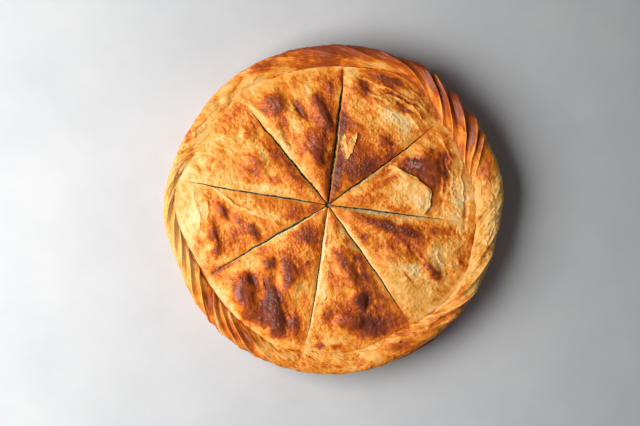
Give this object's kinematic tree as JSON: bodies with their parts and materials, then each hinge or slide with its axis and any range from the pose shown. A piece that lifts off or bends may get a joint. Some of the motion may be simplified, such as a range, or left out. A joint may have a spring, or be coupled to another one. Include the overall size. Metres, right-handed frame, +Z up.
{
  "type": "spanakopita",
  "caption": "Whole round spinach and cheese pie in golden pastry, with a pleated rope rim and a blistered lid scored into wedges.",
  "frame": {"origin": "middle of the pie's underside, on the surface it stands on", "axes": "+Z up; +Y towards the far side of the pie as the picture is seen, +X to the picture's right"},
  "size_m": [0.3074, 0.2984, 0.0472],
  "materials": {
    "rim_pastry": "baked pastry, satin where it was brushed with oil",
    "lid_pastry": "baked pastry with browned blisters, satin",
    "spinach_filling": "moist cooked spinach and white cheese"
  },
  "bodies": {
    "root": {"crust": "rim_pastry", "filling": "spinach_filling", "lid": "lid_pastry"}
  },
  "joints": []
}
